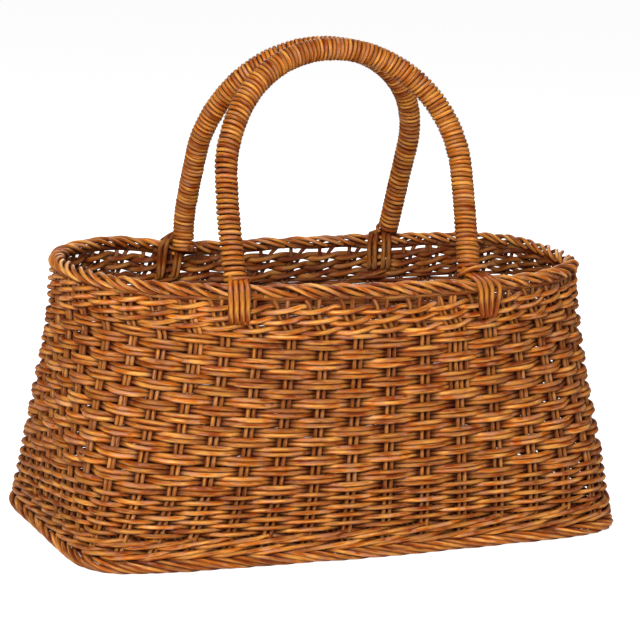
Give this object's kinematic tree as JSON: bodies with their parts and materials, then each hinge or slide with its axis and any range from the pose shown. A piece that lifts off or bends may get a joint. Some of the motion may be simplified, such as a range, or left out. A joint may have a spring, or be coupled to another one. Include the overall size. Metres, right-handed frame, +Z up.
{
  "type": "rattan storage basket",
  "caption": "Woven rattan basket with a rounded rectangular foot, an oval rolled rim and cane-wrapped hoop handles that swing on lashings.",
  "frame": {"origin": "middle of the footprint, on the plane the basket stands on", "axes": "+X along the length, -Y to the long side seen in the picture, +Z up"},
  "size_m": [0.4496, 0.256, 0.378],
  "materials": {
    "weave": "semi-gloss, stained brown rattan weavers",
    "cane": "semi-gloss, stained brown cane",
    "core": "satin rattan rod",
    "bottom": "satin, stained brown rattan"
  },
  "bodies": {
    "basket": {"foot_border": "weave", "lower_wale_1": "weave", "lower_wale_2": "weave", "lower_randing": "weave", "slewed_siding": "weave", "upper_randing": "weave", "top_border": "weave", "bottom_mat": "bottom", "front_lash_a_1": "cane", "front_lash_a_2": "cane", "front_lash_a_3": "cane", "front_lash_a_4": "cane", "front_lash_b_1": "cane", "front_lash_b_2": "cane", "front_lash_b_3": "cane", "front_lash_b_4": "cane", "rear_lash_a_1": "cane", "rear_lash_a_2": "cane", "rear_lash_a_3": "cane", "rear_lash_a_4": "cane", "rear_lash_b_1": "cane", "rear_lash_b_2": "cane", "rear_lash_b_3": "cane", "rear_lash_b_4": "cane"},
    "front_handle": {"front_handle_core": "core", "front_handle_wrap": "cane"},
    "rear_handle": {"rear_handle_core": "core", "rear_handle_wrap": "cane"}
  },
  "joints": [
    {"name": "front_handle_swing", "type": "hinge", "parent": "basket", "child": "front_handle", "pos_m": [-0.01712, -0.1106, 0.1995], "axis": [0.9991, -0.0434, 0], "range_deg": [0, 110], "deforming": ["front_lash_a_1", "front_lash_a_2", "front_lash_a_3", "front_lash_a_4", "front_lash_b_1", "front_lash_b_2", "front_lash_b_3", "front_lash_b_4"]},
    {"name": "rear_handle_swing", "type": "hinge", "parent": "basket", "child": "rear_handle", "pos_m": [0.01712, 0.1106, 0.1995], "axis": [-0.9991, 0.0434, 0], "range_deg": [0, 110], "deforming": ["rear_lash_a_1", "rear_lash_a_2", "rear_lash_a_3", "rear_lash_a_4", "rear_lash_b_1", "rear_lash_b_2", "rear_lash_b_3", "rear_lash_b_4"]}
  ]
}
